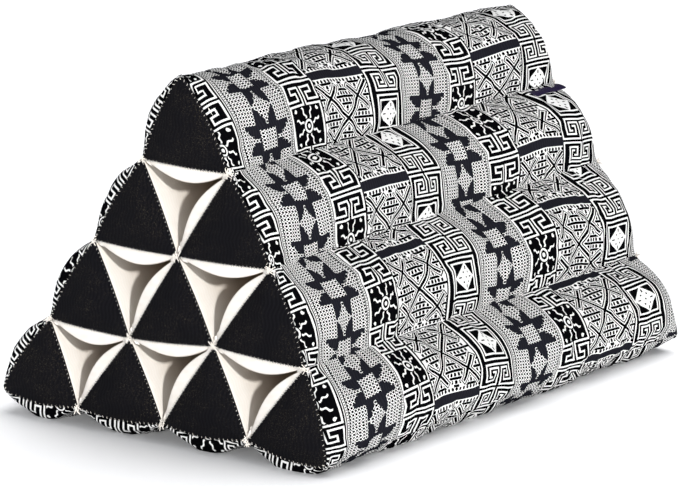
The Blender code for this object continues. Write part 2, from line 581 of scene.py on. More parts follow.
def sun_band_group():
    """Suns in boxes between two rows of keys. Across is from the sun's middle."""
    tree, (edge, across), leave = new_group(
        "Sun band", {"From edge": 0.0, "From sun": 0.0}, ["White"]
    )
    half_width = (SUN_BAND.end - SUN_BAND.start) / 2
    x = half_width - edge
    from_edge = half_width - abs(x)
    keys = read_thinned(
        KEY_CHART, from_edge / KEY_COLUMN, (REPEAT_ACROSS / 2 - abs(across)) / KEY_ROW, 0.25
    )
    radius = math_node(tree, "SQRT", x * x + across * across)
    angle = math_node(tree, "ARCTAN2", across, x)
    eighth = math.pi / 4
    turned = angle + eighth / 2
    from_ray = turned - (turned / eighth + 0.5).floor() * eighth
    wave = (radius * (2 * math.pi / 6.5)).sine() * 0.75
    rays = (abs(from_ray.sine() * radius + wave) < 0.85) * radius.within(6.8, 16.5)
    ring = radius.within(3.8, 5.6)
    eye = radius < 1.8
    corner_x = abs(x) - 14.8
    corner_y = abs(across) - 13.6
    dots = (corner_x * corner_x + corner_y * corner_y) < 2.9
    sun = rays.most(ring).most(eye).most(dots) * (radius < 21.0)
    return finish_group(tree, leave, white=keys.most(sun))


def spiral_band_group():
    """Spirals and framed diamonds."""
    tree, (edge, across), leave = new_group(
        "Spiral band", {"From edge": 0.0, "From diamond": 0.0}, ["White"]
    )
    half_width = (SPIRAL_BAND.end - SPIRAL_BAND.start) / 2
    x = half_width - edge
    y = abs(across)
    spirals = read_thinned(
        SPIRAL_CHART,
        (half_width - abs(x)) / SPIRAL_COLUMN,
        (REPEAT_ACROSS / 2 - y) / SPIRAL_ROW,
        0.48,
    )
    side = abs(x)
    diamond = (side / 14.6 + y / 11.5) < 1.0
    middle_dot = (side * side + y * y) < 0.7
    spot_x = side - 3.4
    spot_y = y - 4.0
    spots = (spot_x * spot_x + spot_y * spot_y) < 0.75
    long_ticks = side.within(5.8, 9.6) * (y < 0.55)
    short_ticks = (side < 0.8) * y.within(6.0, 8.8)
    marks = middle_dot.most(spots).most(long_ticks).most(short_ticks)
    return finish_group(tree, leave, white=spirals.most(diamond * (1.0 - marks)))


def lattice_band_group():
    """Crossed triple lines with rows of dots between them, and a solid bar."""
    tree, (edge, across), leave = new_group(
        "Lattice band", {"From edge": 0.0, "From crossing": 0.0}, ["White", "Bar"]
    )
    half_width = (LATTICE_BAND.end - LATTICE_BAND.start) / 2
    wide = 19.7
    tall = 17.5
    x = abs(half_width - edge)
    y = abs(across)
    slope = wide * tall / math.hypot(wide, tall)
    a = x / wide - 1.0
    b = y / tall - 1.0
    half_diagonal = math.hypot(wide, tall) / 2
    rising = (abs(a - b) * slope).most((abs(a + b + 0.36) - 1.64) * half_diagonal)
    falling = (abs(a + b) * slope).most((abs(a - b) - 0.95) * half_diagonal)
    line = rising.least(falling)
    stroke = (line < 1.2).most(line.within(2.1, 3.15))
    near_line = line < 4.1
    # Rows of dots and dashes, centred in the spaces between the lines
    p = (x / wide + y / tall) * 0.5
    q = (x / wide - y / tall) * 0.5
    p_middle = p.floor() + 0.5
    q_middle = q.floor() + 0.5
    from_x = abs(x - (p_middle + q_middle) * wide)
    from_y = abs(y - (p_middle - q_middle) * tall)
    row = (from_y / 2.9 + 0.5).floor()
    in_row = abs(from_y - row * 2.9)
    even_row = row.folded(2.0) < 0.5
    dash = (in_row < 1.05) * even_row * (from_x < (14.6 - row * 2.9))
    spot_x = from_x.folded(4.7) / 1.5
    spot_y = in_row / 2.6
    spot = (spot_x * spot_x + spot_y * spot_y) < 1.0
    spots = spot * (1.0 - even_row) * (from_x < (12.8 - row * 2.4))
    marks = dash.most(spots) * (1.0 - near_line)
    # A row of dots along the bar
    to_bar = REPEAT_ACROSS / 2 - y
    bar = to_bar < 3.9
    bar_x = x.folded(4.7)
    bar_y = to_bar - 6.2
    bar_row = ((bar_x * bar_x + bar_y * bar_y) < 2.2) * (y > 28.0)
    clear = 1.0 - to_bar.within(3.9, 7.6)
    dark = (stroke.most(marks) * clear).most(bar_row).most(bar)
    edge_line = (half_width - x) < 1.6
    return finish_group(tree, leave, white=1.0 - dark.most(edge_line), bar=bar)


def star_band_group():
    """Dark stepped stars on a pale ground that is pricked with dots."""
    tree, (edge, across), leave = new_group(
        "Star band", {"From edge": 0.0, "From star": 0.0}, ["White", "Star"]
    )
    middle = (STAR_BAND.end - STAR_BAND.start) / 2 + 0.95
    x = abs(edge - middle)
    y = abs(across)
    inner, outer = step_table(
        y, [(s, i / STAR_REACH, o / STAR_REACH) for s, i, o in STAR_STEPS], STAR_REACH
    )
    star = (x > inner * STAR_REACH) * (x < outer * STAR_REACH)
    dots = dot_rows(edge, across, 1.36, 0.91)
    small_dots = dot_rows(edge + DOT_PITCH[0] / 2, across + DOT_PITCH[1] / 2, 0.8, 0.46)
    return finish_group(tree, leave, white=1.0 - star.most(dots).most(small_dots), star=star)


def dot_rows(along, across, long, tall):
    """Rows of oval dots, a DOT_PITCH apart."""
    x = along.folded(DOT_PITCH[0]) / long
    y = across.folded(DOT_PITCH[1]) / tall
    return (x * x + y * y) < 1.0


def stripes_group():
    """A broad black line before the edge, then two thin ones with a row of dots between."""
    tree, (edge, across), leave = new_group(
        "Stripes", {"From edge": 0.0, "Across": 0.0}, ["White"]
    )
    lines = edge.within(-2.6, -0.8).most(edge.within(0.0, 1.1)).most(edge.within(3.2, 4.3))
    dot_x = edge - 2.15
    dot_y = across.folded(2.0)
    dots = (dot_x * dot_x + dot_y * dot_y) < 0.4
    return finish_group(tree, leave, white=1.0 - lines.most(dots))


def jacquard_group():
    """The whole patterned cloth. Along and Across are in millimetres of cloth."""
    tree, (along, across), leave = new_group(
        "Patterned cloth", {"Along": 0.0, "Across": 0.0}, ["White", "Solid"]
    )
    serration = (across * (2 * math.pi / 1.1)).sine() * 0.16
    run = (along + serration - FIRST_BAND).modulo(REPEAT_ALONG)
    first = along < FIRST_BAND
    sun_edge = run - SUN_BAND.start
    first_edge = along - FIRST_BAND + (SUN_BAND.end - SUN_BAND.start)
    sun_edge = sun_edge + (first_edge - sun_edge) * first
    from_sun = across - (across / REPEAT_ACROSS + 0.5).floor() * REPEAT_ACROSS
    to_star = across - STAR_SHIFT
    from_star = to_star - (to_star / STAR_REPEAT + 0.5).floor() * STAR_REPEAT

    def place(group, band, across_name, position):
        node = use_group(tree, group, From_edge=run - band.start, **{across_name: position})
        return node

    sun = use_group(tree, sun_band_group(), From_edge=sun_edge, From_sun=from_sun)
    star = place(star_band_group(), STAR_BAND, "From_star", from_star)
    lattice = place(lattice_band_group(), LATTICE_BAND, "From_crossing", from_sun)
    spiral = place(spiral_band_group(), SPIRAL_BAND, "From_diamond", from_sun)
    stripes = stripes_group()
    pair = run - STRIPES_START
    edge_stripes = use_group(tree, stripes, From_edge=pair, Across=across)
    thin_stripes = place(stripes, THIN_STRIPES, "Across", across)
    later = 1.0 - first
    total = Signal(sun.outputs["White"]) * run.within(*SUN_BAND).most(first)
    for node, band in (
        (star, STAR_BAND),
        (lattice, LATTICE_BAND),
        (spiral, SPIRAL_BAND),
        (edge_stripes, EDGE_STRIPES),
        (thin_stripes, THIN_STRIPES),
    ):
        total = total + Signal(node.outputs["White"]) * run.within(*band) * later
    solid = Signal(star.outputs["Star"]) * run.within(*STAR_BAND) * later
    solid = solid + Signal(lattice.outputs["Bar"]) * run.within(*LATTICE_BAND) * later
    return finish_group(tree, leave, white=total, solid=solid)


def weave_group():
    """Crossed threads of a plain weave, from positions in millimetres."""
    tree, (along, across, pitch), leave = new_group(
        "Threads", {"Along": 0.0, "Across": 0.0, "Pitch": 0.6}, ["Height", "Tint"]
    )
    turn = 2 * math.pi
    warp = (along / pitch * math.pi).sine()
    weft = (across / pitch * math.pi).sine()
    crossing = warp * weft
    over = (crossing > 0.0) * abs(warp) + (crossing < 0.0) * abs(weft)
    slub = (along / pitch * 0.173 * turn + (across / pitch * 0.031 * turn).sine() * 2.0).sine()
    return finish_group(tree, leave, height=over, tint=over * 0.7 + slub * 0.3)


# Materials


def new_material(name, roughness, specular):
    """A material with a Principled shader, its tree and the shader."""
    material = bpy.data.materials.new(name)
    material.use_nodes = True
    tree = material.node_tree
    shader = tree.nodes["Principled BSDF"]
    shader.inputs["Roughness"].default_value = roughness
    shader.inputs["Specular IOR Level"].default_value = specular
    return material, tree, shader


def cloth_position(tree):
    """Millimetres along and across the cloth, from the piece's own UV map."""
    uv = tree.nodes.new("ShaderNodeUVMap")
    uv.uv_map = "Weave"
    split = tree.nodes.new("ShaderNodeSeparateXYZ")
    tree.links.new(uv.outputs["UV"], split.inputs["Vector"])
    return Signal(split.outputs["X"]) * 1000.0, Signal(split.outputs["Y"]) * 1000.0


def noise(tree, scale, detail=2.0, roughness=0.5):
    """Noise over the piece's own place in space."""
    place = tree.nodes.new("ShaderNodeTexCoord")
    node = tree.nodes.new("ShaderNodeTexNoise")
    node.inputs["Scale"].default_value = scale
    node.inputs["Detail"].default_value = detail
    node.inputs["Roughness"].default_value = roughness
    tree.links.new(place.outputs["Object"], node.inputs["Vector"])
    return Signal(node.outputs["Fac"])


def depth_from_end(tree):
    """Metres from the nearer slanting end of the cushion, along X."""
    place = tree.nodes.new("ShaderNodeTexCoord")
    split = tree.nodes.new("ShaderNodeSeparateXYZ")
    tree.links.new(place.outputs["Object"], split.inputs["Vector"])
    x, z = Signal(split.outputs["X"]), Signal(split.outputs["Z"])
    return LENGTH / 2 - abs(x) - (z - LEAN_HEIGHT) * END_LEAN


def mix_color(tree, amount, first, second):
    """A mix of two colours, each a tuple or a socket."""
    node = tree.nodes.new("ShaderNodeMix")
    node.data_type = "RGBA"
    tree.links.new(amount.socket, node.inputs["Factor"])
    for socket, value in ((node.inputs[6], first), (node.inputs[7], second)):
        if isinstance(value, bpy.types.NodeSocket):
            tree.links.new(value, socket)
        else:
            socket.default_value = (*value, 1.0)
    return node.outputs[2]


def add_bump(tree, shader, height, distance):
    """Relief from a height between 0 and 1."""
    node = tree.nodes.new("ShaderNodeBump")
    node.inputs["Distance"].default_value = distance
    tree.links.new(height.socket, node.inputs["Height"])
    tree.links.new(node.outputs["Normal"], shader.inputs["Normal"])


def patterned_cotton(settings):
    """Black and white patterned cloth."""
    material, tree, shader = new_material("patterned_weave", 0.9, 0.0)
    along, across = cloth_position(tree)
    pattern = use_group(tree, jacquard_group(), Along=along, Across=across)
    white = Signal(pattern.outputs["White"])
    solid = Signal(pattern.outputs["Solid"])
    threads = use_group(tree, weave_group(), Along=along, Across=across, Pitch=settings.thread)
    tint = Signal(threads.outputs["Tint"])
    cloudy = noise(tree, 14.0)
    pale = mix_color(tree, tint * 0.35, settings.white_yarn, settings.shaded_yarn)
    dark = mix_color(tree, solid, settings.black_yarn, settings.navy_yarn)
    dark = mix_color(tree, (tint * 0.5 + cloudy * 0.3).most(0.0), dark, settings.dark_thread)
    color = mix_color(tree, white, dark, pale)
    tree.links.new(color, shader.inputs["Base Color"])
    add_bump(
        tree, shader, Signal(threads.outputs["Height"]) * 0.5 + white * 0.5, 0.00022
    )
    return material


def cream_cotton(settings):
    """Plain cream cloth, with painted shade that turns it browner deeper in the hollows."""
    material, tree, shader = new_material("cream_weave", 0.9, 0.15)
    along, across = cloth_position(tree)
    threads = use_group(tree, weave_group(), Along=along, Across=across, Pitch=settings.thread)
    tint = Signal(threads.outputs["Tint"])
    cloudy = noise(tree, 22.0, 3.0)
    pale = mix_color(tree, tint * 0.5 + cloudy * 0.4, settings.cream, settings.cream_shade)
    # Painted shade: the cloth turns browner the deeper it lies from the end, where shade falls in the
    # hollows.
    depth = depth_from_end(tree)
    inside = ((depth - 0.012) / 0.075).most(0.0).least(1.0)
    tree.links.new(mix_color(tree, inside, pale, settings.hollow_painted_shade), shader.inputs["Base Color"])
    crumple = noise(tree, 70.0, 3.0)
    add_bump(tree, shader, Signal(threads.outputs["Height"]) * 0.12 + crumple, 0.0012)
    return material


def black_cotton(settings):
    """Plain black cloth with a little brown lint in its threads."""
    material, tree, shader = new_material("black_weave", 0.9, 0.06)
    along, across = cloth_position(tree)
    threads = use_group(tree, weave_group(), Along=along, Across=across, Pitch=settings.thread)
    tint = Signal(threads.outputs["Tint"])
    patches = noise(tree, 28.0, 4.0, 0.7)
    specks = noise(tree, 900.0, 2.0, 0.8)
    lint = (specks > 0.60) * ((patches - 0.42) * 5.0).most(0.0).least(1.0)
    base = mix_color(tree, tint, settings.black_cloth, settings.black_thread)
    color = mix_color(tree, lint * 0.8, base, settings.lint)
    tree.links.new(color, shader.inputs["Base Color"])
    add_bump(tree, shader, Signal(threads.outputs["Height"]) * 0.2 + patches, 0.0008)
    return material


def purple_ribbon(settings):
    """Narrow woven ribbon with a ribbed face."""
    material, tree, shader = new_material("ribbon_weave", 0.6, 0.1)
    along, across = cloth_position(tree)
    ribs = (along * (2 * math.pi / 0.7)).sine() * 0.5 + 0.5
    color = mix_color(tree, ribs, settings.ribbon, settings.ribbon_shade)
    tree.links.new(color, shader.inputs["Base Color"])
    add_bump(tree, shader, ribs, 0.00015)
    return material


def sewing_thread(name, color, shade):
    """Twisted sewing thread."""
    material, tree, shader = new_material(name, 0.7, 0.2)
    twist = noise(tree, 900.0, 1.0)
    tree.links.new(mix_color(tree, twist, color, shade), shader.inputs["Base Color"])
    return material


def shared_material(name, maker, *values):
    """The material of that name, made the first time it is asked for."""
    return bpy.data.materials.get(name) or maker(*values)


# Patterned wrap

# How far below each lobe's upper seam a sun's middle lies, in millimetres, at the given
# distances along the cushion. Front lobes come first, from the base up.
PHASE_PLACES = (8.0, 55.0, 113.0, 170.0, 230.0, 295.0, 354.0, 415.0, 480.0)
LOBE_PHASES = (
    (111.5, 111.6, 105.7, 104.1, 108.1, 116.7, 117.7, 118.7, 122.0),
    (60.5, 64.0, 61.7, 59.0, 61.0, 65.7, 65.1, 65.6, 73.0),
    (6.5, 12.8, 11.3, 11.2, 13.7, 19.2, 21.8, 20.0, 27.7),
    (-3.6, -0.4, -3.3, -1.5, 4.0, 10.2, 13.5, 10.0, 9.8),
)
BACK_PHASES = {5: 20.0, 6: 52.0, 7: 10.0, 9: 12.0, 10: 44.0}

# Where the middles of the bands fall along each front lobe, because the cloth is stretched
BAND_MIDDLES = (-10.0, 0.0, 55.4, 113.0, 169.5, 230.0, 295.4, 353.0, 409.5, 470.0, 570.0)
LOBE_MIDDLES = (
    (-10.0, 0.0, 62.0, 123.0, 175.0, 237.7, 301.0, 360.7, 420.5, 487.0, 587.0),
    (-10.0, 0.0, 50.4, 113.5, 166.0, 236.0, 295.0, 359.0, 419.5, 491.0, 591.0),
    (-10.0, 0.0, 53.7, 113.0, 169.0, 227.3, 288.7, 349.0, 407.5, 477.0, 577.0),
    (-10.0, 0.0, 55.4, 115.3, 169.5, 230.0, 285.7, 342.3, 403.0, 470.5, 570.5),
)
BACK_MIDDLES = (-10.0, 0.0, 55.4, 113.0, 169.5, 230.0, 292.0, 351.0, 410.0, 475.0, 575.0)
FRAMES = 20              # over which the cloth settles
FOLD_OUT = 0.0018        # how far a fold may stand out
FOLD_IN = 0.0012
FOLD_SPAN = 9            # stations over which the even swelling is measured, on either side
TURN_IN = 0.0026         # how far the wrap's end turns in over the black cloth
TURN_OUT = 0.0006
BOW = 12.0               # how far the bands bow at the seams near an end
BOW_REACH = 70.0
BOW_POWER = 1.2          # how closely the bow keeps to the seams
GATHER_WAVES = 55.0      # gathers beside a seam, a metre
GATHER_RISE = 0.0014
SWAY_WAVES = 11.0        # slow sways along a lobe, a metre
SWAY_RISE = 0.0008
# How far the bands lean across each front lobe, at the near and the far end
LOBE_LEANS = ((6.0, 0.0), (6.0, 6.0), (6.0, 11.0), (7.0, 0.0))


def lobe_arcs(steps):
    """Distances across each outer wall half way along, in millimetres."""
    outline = section(outer_corners(), 0.5, steps)
    lengths = np.linalg.norm(np.roll(outline, -1, axis=0) - outline, axis=1)
    lengths = lengths.reshape(-1, steps) / MILLIMETRE
    return np.concatenate([np.zeros((len(lengths), 1)), np.cumsum(lengths, axis=1)], axis=1)


def wrap_cloth_positions(grid, steps):
    """Metres along and across the cloth for each lobe, station and step."""
    arcs = lobe_arcs(steps)
    lobes = len(arcs)
    closed = np.concatenate([grid, grid[:, :1]], axis=1)
    positions = np.zeros((lobes, len(grid), steps + 1, 2))
    starts = [None] * lobes
    for lobe in range(lobes):
        columns = np.arange(lobe * steps, lobe * steps + steps + 1)
        middle = closed[:, columns[steps // 2]]
        steps_along = np.linalg.norm(np.diff(middle, axis=0), axis=1) / MILLIMETRE
        along = np.concatenate([[0.0], np.cumsum(steps_along)]) - steps_along[0]
        span = arcs[lobe][-1]
        if lobe < ROWS:
            starts[lobe] = span - np.interp(along, PHASE_PLACES, LOBE_PHASES[lobe])
        elif lobe in (ROWS, 2 * ROWS):
            starts[lobe] = starts[lobe - 1] - arcs[lobe - 1][-1]
        elif lobe == lobes - 1:
            starts[lobe] = starts[0] + span
        else:
            starts[lobe] = np.full(len(along), span - BACK_PHASES[lobe])
        share = np.arange(steps + 1) / steps
        at_seam = (1.0 - np.sin(np.pi * share)) ** BOW_POWER
        near = np.exp(-along / BOW_REACH)
        far = np.exp(-(along[-1] - along) / BOW_REACH)
        bow = BOW * (far - near)[:, None] * at_seam[None, :]
        lean = LOBE_LEANS[lobe] if lobe < ROWS else (0.0, 0.0)
        bow += np.linspace(*lean, len(along))[:, None] * (share - 0.5)[None, :]
        middles = LOBE_MIDDLES[lobe] if lobe < ROWS else BACK_MIDDLES
        cloth = np.interp(along, middles, BAND_MIDDLES)
        positions[lobe, :, :, 0] = cloth[:, None] + bow
        positions[lobe, :, :, 1] = starts[lobe][:, None] - arcs[lobe][None, :]
    return positions * MILLIMETRE


def wrap_relief(grid, steps, places):
    """How far the wrap stands off its even shape: small gathers beside the seams."""
    along = grid[:, :, 0]
    relief = np.zeros(along.shape)
    for lobe in range(len(outer_corners())):
        columns = slice(lobe * steps, (lobe + 1) * steps)
        share = np.arange(steps) / steps
        x = along[:, columns]
        for side, seed in ((share, 2 * lobe), (1 - share, 2 * lobe + 1)):
            reach = np.exp(-side / 0.12) * np.minimum(side / 0.04, 1.0)
            relief[:, columns] += reach * ripple(x, 40 + seed, GATHER_WAVES) * GATHER_RISE
        crown = np.sin(np.pi * share) ** 2
        relief[:, columns] += crown * ripple(x + share * 0.03, 90 + lobe, SWAY_WAVES) * SWAY_RISE
    ends = np.minimum(np.minimum(places, 1 - places) / 0.01, 1)
    return relief * ends[:, None]


def puff_up(grid, steps, settings):
    """Small folds that the filling's pressure presses into the cloth between its seams.

    The cloth is settled on a coarser grid, a little too long for the seams that hold it. Only
    its folds are kept, from FOLD_IN below the even swelling to FOLD_OUT above it.
    """
    coarse = grid[::2, ::2]
    rows, columns = coarse.shape[:2]
    mesh = bpy.data.meshes.new("settling")
    points = [tuple(p) for p in coarse.reshape(-1, 3)]
    mesh.from_pydata(points, [], grid_faces(rows, columns, True))
    cloth = bpy.data.objects.new("settling", mesh)
    bpy.context.scene.collection.objects.link(cloth)
    held = cloth.vertex_groups.new(name="held")
    seams = [r * columns + c for r in range(rows) for c in range(0, columns, steps // 2)]
    ends = list(range(columns)) + list(range((rows - 1) * columns, rows * columns))
    held.add(seams + ends, 1.0, "REPLACE")
    modifier = cloth.modifiers.new("Cloth", "CLOTH")
    cloth_settings = modifier.settings
    cloth_settings.quality = 5
    cloth_settings.mass = 0.3
    cloth_settings.tension_stiffness = 12.0
    cloth_settings.compression_stiffness = 12.0
    cloth_settings.shear_stiffness = 4.0
    cloth_settings.bending_stiffness = settings.fold_stiffness
    cloth_settings.shrink_min = -settings.slack
    cloth_settings.vertex_group_mass = "held"
    cloth_settings.effector_weights.gravity = 0.0
    cloth_settings.use_pressure = True
    cloth_settings.uniform_pressure_force = settings.pressure
    modifier.collision_settings.use_collision = False
    modifier.point_cache.frame_start = 1
    modifier.point_cache.frame_end = FRAMES
    for frame in range(1, FRAMES + 1):
        bpy.context.scene.frame_set(frame)
    evaluated = cloth.evaluated_get(bpy.context.evaluated_depsgraph_get())
    settled = np.empty(rows * columns * 3)
    evaluated.data.vertices.foreach_get("co", settled)
    bpy.data.objects.remove(cloth, do_unlink=True)
    bpy.context.scene.frame_set(1)
    moved = settled.reshape(rows, columns, 3) - coarse
    rise = (moved * surface_normals(coarse, wrap=True)).sum(axis=2)
    even = np.pad(rise, ((FOLD_SPAN, FOLD_SPAN), (0, 0)), mode="edge")
    even = np.mean([even[i:i + rows] for i in range(2 * FOLD_SPAN + 1)], axis=0)
    from_end = np.minimum(np.arange(rows), np.arange(rows)[::-1])
    folds = (rise - even) * np.minimum(from_end / 6, 1.0)[:, None]
    most = np.where(folds > 0, FOLD_OUT, FOLD_IN)
    folds = most * np.tanh(folds / most)
    return spread_out(folds[:, :, None], grid.shape)


def spread_out(moved, shape):
    """Movements of a coarse ring grid, read off for a grid twice as fine."""
    rows = np.linspace(0, len(moved) - 1, shape[0])
    columns = np.arange(shape[1]) / 2
    closed = np.concatenate([moved, moved[:, :1]], axis=1)
    low = np.floor(rows).astype(int).clip(0, len(moved) - 2)
    part = (rows - low)[:, None, None]
    along = closed[low] * (1 - part) + closed[low + 1] * part
    left = np.floor(columns).astype(int)
    share = (columns - left)[None, :, None]
    return along[:, left] * (1 - share) + along[:, left + 1] * share


def build_wrap(settings):
    """The patterned cloth round both slopes and the base."""
    steps = settings.wall_steps
    places = stations(settings.wrap_stations)
    outside = []
    for s in places:
        outline = section(outer_corners(), s, steps)
        outside.append(ring_at(offset(outline, GAP / 2 + CLOTH), s, 0.0))
    grid = np.array(outside)
    grid += surface_normals(grid, wrap=True) * wrap_relief(grid, steps, places)[:, :, None]
    grid += surface_normals(grid, wrap=True) * puff_up(grid, steps, settings)
    grid[:, :, 2] = np.maximum(grid[:, :, 2], 0.0)
    grid = turn_in(grid, places, steps)
    inside = grid - surface_normals(grid, wrap=True) * settings.cloth
    inside[:, :, 2] = np.maximum(inside[:, :, 2], settings.cloth)
    rows, columns = grid.shape[:2]
    points = np.concatenate([grid.reshape(-1, 3), inside.reshape(-1, 3)])
    inner = rows * columns
    faces = grid_faces(rows, columns, True, flip=False)
    faces += grid_faces(rows, columns, True, flip=True, start=inner)
    for row, flip in ((0, True), (rows - 1, False)):
        for column in range(columns):
            a = row * columns + column
            b = row * columns + (column + 1) % columns
            quad = (a, b, b + inner, a + inner)
            faces.append(quad[::-1] if flip else quad)
    material = shared_material("patterned_weave", patterned_cotton, settings)
    piece = add_piece("patterned_wrap", points, faces, material)
    cloth = wrap_cloth_positions(grid, steps)
    weave, bake = wrap_uvs(piece, cloth, rows, columns, steps)
    set_uv(piece, "Weave", weave)
    set_uv(piece, "OFBake", bake)
    return piece, grid


def turn_in(grid, places, steps):
    """The grid with a ring added at each end that turns the cloth in over the end seam."""
    rings = []
    for s, outward in ((places[0], -1.0), (places[-1], 1.0)):
        outline = offset(section(outer_corners(), s, steps), GAP / 2 + CLOTH - TURN_IN)
        rings.append(ring_at(outline, s, 0.0, outward * TURN_OUT))
    return np.concatenate([rings[:1], grid, rings[1:]])


def wrap_uvs(piece, cloth, rows, columns, steps):
    """Cloth positions and bake positions for each face corner of the wrap."""
    corners = corner_vertices(piece.data)
    inner = rows * columns
    is_inner = corners >= inner
    flat = corners % inner
    station = flat // columns
    column = flat % columns
    face_of = np.repeat(np.arange(len(piece.data.polygons)), 4)
    by_face = column.reshape(-1, 4)
    crosses = (by_face.max(axis=1) - by_face.min(axis=1)) > steps
    column = np.where(crosses[face_of] & (column < steps), column + columns, column)
    lobe = (np.repeat(column.reshape(-1, 4).min(axis=1), 4) // steps).astype(int)
    step = column - lobe * steps
    weave = cloth[lobe % len(cloth), station, step]
    all_inner = is_inner.reshape(-1, 4).sum(axis=1)
    inside_face = np.repeat(all_inner, 4)
    u = column / columns
    v = station / (rows - 1)
    bake = np.stack([u * 0.98 + 0.01, v * 0.90 + 0.01], axis=1)
    inner_bake = np.stack([u * 0.98 + 0.01, v * 0.04 + 0.93], axis=1)
    rim_row = np.where(station == 0, 0.975, 0.985) + is_inner * 0.006
    rim_bake = np.stack([u * 0.98 + 0.01, rim_row], axis=1)
    bake[inside_face == 4] = inner_bake[inside_face == 4]
    bake[inside_face == 2] = rim_bake[inside_face == 2]
    return weave, bake


# Rolls


CREASE_WAVES = 34.0      # creases across a wall, a metre
CREASE_DEPTH = 0.0018
UNDER_WRAP = 0.0030      # how far a roll's cloth lies below the wrap's folds


def roll_grid(row, place, steps, places):
    """Points of a roll's casing, station by station."""
    return np.array(
        [ring_at(roll_outline(row, place, s, steps), s, CLOTH + GAP) for s in places]
    )


def roll_relief(grid, steps, places, corners, seed):
    """Creases that run across the walls from their seams. Walls under the wrap lie deeper."""
    x = grid[:, :, 0]
    relief = np.zeros(x.shape)
    for wall in range(3):
        share = np.arange(steps) / steps
        columns = slice(wall * steps, (wall + 1) * steps)
        for side, turn in ((share, 0), (1 - share, 1)):
            reach = np.exp(-side / 0.2) * np.minimum(side / 0.06, 1.0)
            wave = ripple(x[:, columns], seed * 7 + wall * 2 + turn, CREASE_WAVES)
            relief[:, columns] -= reach * (wave * 0.5 + 0.5) * CREASE_DEPTH
        if is_outer_wall(corners[wall], corners[(wall + 1) % 3]):
            relief[:, columns] -= np.sin(np.pi * share) ** 0.5 * UNDER_WRAP
    ends = np.minimum(places, 1 - places)
    return relief * np.minimum(ends / 0.02, 1)[:, None]


def build_roll(row, place, settings):
    """One filled casing, closed by its crowned ends."""
    steps = settings.wall_steps * 2 // 3
    places = stations(settings.roll_stations)
    grid = roll_grid(row, place, steps, places)
    seed = row * 10 + place
    relief = roll_relief(grid, steps, places, roll_corners(row, place), seed)
    grid += surface_normals(grid, wrap=True) * relief[:, :, None]
    shares = (0.75, 0.5, 0.25)
    near_cap = cap_rings(row, place, 0, 0.0, shares, steps)[::-1]
    far_cap = cap_rings(row, place, 1, 0.0, shares, steps)
    rings = np.array(near_cap + list(grid) + far_cap)
    rows, columns = rings.shape[:2]
    points = rings.reshape(-1, 3)
    near_middle = rings[0].mean(axis=0)
    far_middle = rings[-1].mean(axis=0)
    points = np.concatenate([points, [near_middle, far_middle]])
    faces = grid_faces(rows, columns, True)
    faces += pole_fans(columns, (rows - 1) * columns, len(points))
    material = shared_material("cream_weave", cream_cotton, settings)
    piece = add_piece(f"roll_casing_{row + 1}_{place + 1}", points, faces, material)
    girths = np.linalg.norm(np.diff(rings[rows // 2], axis=0), axis=1)
    across = np.concatenate([[0.0], np.cumsum(girths)])
    across = np.concatenate([across, [across[-1] + across[1]]])
    set_ring_uv(piece, rings, across)
    return piece


def set_ring_uv(piece, rings, across):
    """The weave's place on a piece made of rings: metres along X and round the rings."""
    mesh = piece.data
    rows, columns = rings.shape[:2]
    corners = corner_vertices(mesh)
    total = rows * columns
    pole = corners >= total
    station = np.where(pole, 0, corners // columns)
    column = np.where(pole, 0, corners % columns)
    uv = np.zeros((len(corners), 2))
    start = 0
    for polygon in mesh.polygons:
        loops = range(polygon.loop_start, polygon.loop_start + polygon.loop_total)
        own = [column[i] for i in loops if not pole[i]]
        crosses = max(own) - min(own) > columns // 2
        for i in loops:
            here = column[i] + columns if crosses and column[i] == 0 else column[i]
            if pole[i]:
                here = own[0]
            place = mesh.vertices[corners[i]].co
            uv[i] = (place.x, across[min(here, columns)])
    set_uv(piece, "Weave", uv)


# End panels


def build_end_panel(row, place, end, settings):
    """The black cloth over a roll's end, a little puckered along its edge."""
    steps = settings.wall_steps * 2 // 3
    shares = np.linspace(1.0, 0.08, 12)
    seed = row * 10 + place + 100 * end
    base = np.array(cap_rings(row, place, end, GAP, shares, steps))
    outward = 2 * end - 1
    turn = np.arange(base.shape[1]) / base.shape[1]
    pucker = ripple(turn, 300 + seed, 26.0) * 0.0006
    sway = ripple(base[:, :, 1] + 0.6 * base[:, :, 2], 500 + seed, 17.0) * 0.0007
    depth = (1.0 - shares)[:, None]
    relief = pucker[None, :] * np.exp(-depth / 0.18) * np.minimum(depth / 0.05, 1)
    relief = relief + sway * np.minimum(depth / 0.25, 1)
    inside = base + np.array([outward, 0, 0]) * relief[:, :, None]
    outside = inside + np.array([outward * settings.cloth, 0, 0])
    columns = inside.shape[1]
    rings = np.concatenate([inside[::-1], outside])
    middle_in = inside[-1].mean(axis=0)
    middle_out = outside[-1].mean(axis=0)
    points = np.concatenate([rings.reshape(-1, 3), [middle_in, middle_out]])
    faces = grid_faces(len(rings), columns, True)
    faces += pole_fans(columns, (len(rings) - 1) * columns, len(points))
    if not end:
        faces = [face[::-1] for face in faces]
    material = shared_material("black_weave", black_cotton, settings)
    piece = add_piece(f"end_cloth_{SIDES[end]}_{row + 1}_{place + 1}", points, faces, material)
    set_uv(piece, "Weave", points[corner_vertices(piece.data)][:, 1:])
    return piece, outside


# Stitches and knots

KNOT_THREADS = 9

# Tucks at the two upper corners and the lower corner of a hollow: reach and depth in metres
PUCKERS = (
    ((0.0045, 0.0012), (0.0070, 0.0035)),
    ((0.0050, 0.0015),),
    ((0.0045, 0.0014), (0.0075, 0.0036)),
)


